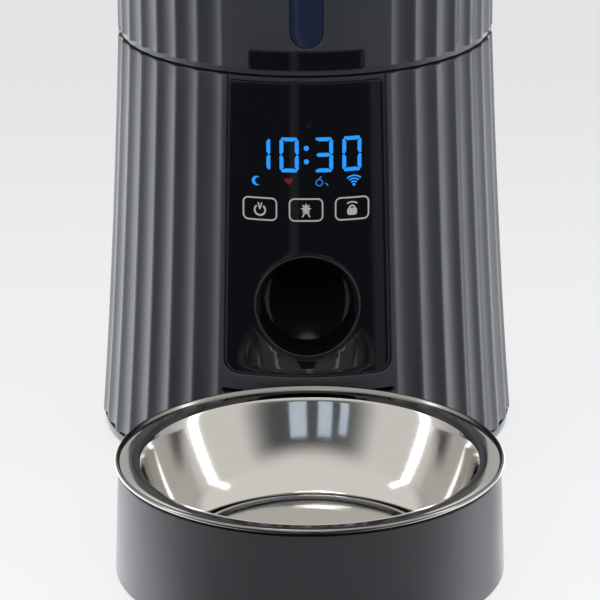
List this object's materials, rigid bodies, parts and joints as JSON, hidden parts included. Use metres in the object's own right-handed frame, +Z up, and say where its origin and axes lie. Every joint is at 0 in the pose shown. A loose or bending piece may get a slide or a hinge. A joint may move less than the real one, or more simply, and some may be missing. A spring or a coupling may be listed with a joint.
{
  "type": "automatic pet feeder",
  "caption": "Tall fluted dry-food dispenser with a clock panel, round outlet, lift-off hopper and lid, and a steel bowl on a docking stand.",
  "frame": {"origin": "centre of the footprint of base and bowl stand, on the surface they stand on", "axes": "+Z up, the display, outlet and bowl face -Y, +X to the right seen from the front"},
  "size_m": [0.1748, 0.3244, 0.3633],
  "materials": {
    "shell": "satin fluted anthracite moulding",
    "trim_plastic": "fine matte dark grey",
    "stand_plastic": "satin dark grey with a fine spark texture",
    "gloss_panel": "polished black acrylic",
    "smoked_window": "smoky clear polycarbonate",
    "lit_blue": "lit display segment",
    "printed_grey": "screen print",
    "rubber_foot": "matte",
    "silicone": "soft translucent silicone",
    "screw_steel": "zinc plated",
    "motor_can": "drawn steel can",
    "gear_nylon": "natural acetal",
    "pinion_brass": "machined",
    "board_green": "solder mask",
    "black_component": "moulded",
    "button_grey": "satin",
    "desiccant_white": "satin",
    "bowl_steel": "polished pressed stainless steel with fine spin marks"
  },
  "bodies": {
    "base": {"base_shell": "shell", "bottom_cover": "shell", "foot_pads": "rubber_foot", "cover_screws": "screw_steel", "front_insert": "trim_plastic", "front_glass": "gloss_panel", "clock_digits": "lit_blue", "status_icons": "lit_blue", "touch_keys": "printed_grey", "outlet_bezel": "gloss_panel", "food_chute": "trim_plastic", "outlet_sensors": "black_component", "display_board": "board_green", "display_module": "black_component", "microphone": "black_component", "metering_deck": "trim_plastic", "drop_guard": "trim_plastic", "gearbox_case": "gear_nylon", "gearbox_lid": "gear_nylon", "gear_motor": "motor_can", "main_board": "board_green", "speaker": "black_component", "rear_board": "board_green", "power_inlet": "black_component", "button_spring": "screw_steel", "reset_switch": "black_component", "battery_box": "trim_plastic", "battery_contacts": "screw_steel"},
    "rotor": {"rotor_hub": "gear_nylon", "rotor_vanes": "silicone", "agitator": "screw_steel", "drive_shaft": "screw_steel", "drive_gear": "gear_nylon"},
    "pinion": {"motor_pinion": "pinion_brass", "motor_shaft": "screw_steel"},
    "button": {"reset_button": "button_grey"},
    "battery_hatch": {"battery_door": "shell"},
    "hopper": {"hopper_shell": "shell", "hopper_floor": "trim_plastic", "hopper_funnel": "trim_plastic", "hopper_seal": "silicone", "hopper_window": "smoked_window", "name_plate": "gloss_panel"},
    "lid": {"lid_cover": "shell", "lid_handle": "trim_plastic", "lid_seal": "silicone"},
    "desiccant": {"desiccant_tray": "desiccant_white"},
    "stand": {"bowl_stand": "stand_plastic", "stand_feet": "rubber_foot"},
    "bowl": {"steel_bowl": "bowl_steel"}
  },
  "joints": [
    {"name": "rotor_spin", "type": "hinge", "parent": "base", "child": "rotor", "pos_m": [0, 0.07471, 0.15], "axis": [0, 0, 1], "continuous": true},
    {"name": "pinion_spin", "type": "hinge", "parent": "base", "child": "pinion", "pos_m": [0, 0.09421, 0.125], "axis": [0, 0, 1], "continuous": true},
    {"name": "reset_press", "type": "slide", "parent": "base", "child": "button", "axis": [0, -1, 0], "range_m": [0, 0.0012], "stiffness_N_per_m": 400, "deforming": ["button_spring"]},
    {"name": "battery_door_pull", "type": "slide", "parent": "base", "child": "battery_hatch", "axis": [0, 1, 0], "range_m": [0, 0.04]},
    {"name": "hopper_lift", "type": "slide", "parent": "base", "child": "hopper", "axis": [0, 0, 1], "range_m": [0, 0.12]},
    {"name": "lid_lift", "type": "slide", "parent": "hopper", "child": "lid", "axis": [0, 0, 1], "range_m": [0, 0.08]},
    {"name": "tray_drop", "type": "slide", "parent": "lid", "child": "desiccant", "axis": [0, 0, -1], "range_m": [0, 0.03]},
    {"name": "stand_pull", "type": "slide", "parent": "base", "child": "stand", "axis": [0, -1, 0], "range_m": [0, 0.06]},
    {"name": "bowl_lift", "type": "slide", "parent": "stand", "child": "bowl", "axis": [0, 0, 1], "range_m": [0, 0.08]}
  ],
  "couplings": [
    {"joint": "pinion_spin", "follows": "rotor_spin", "ratio": -2}
  ]
}
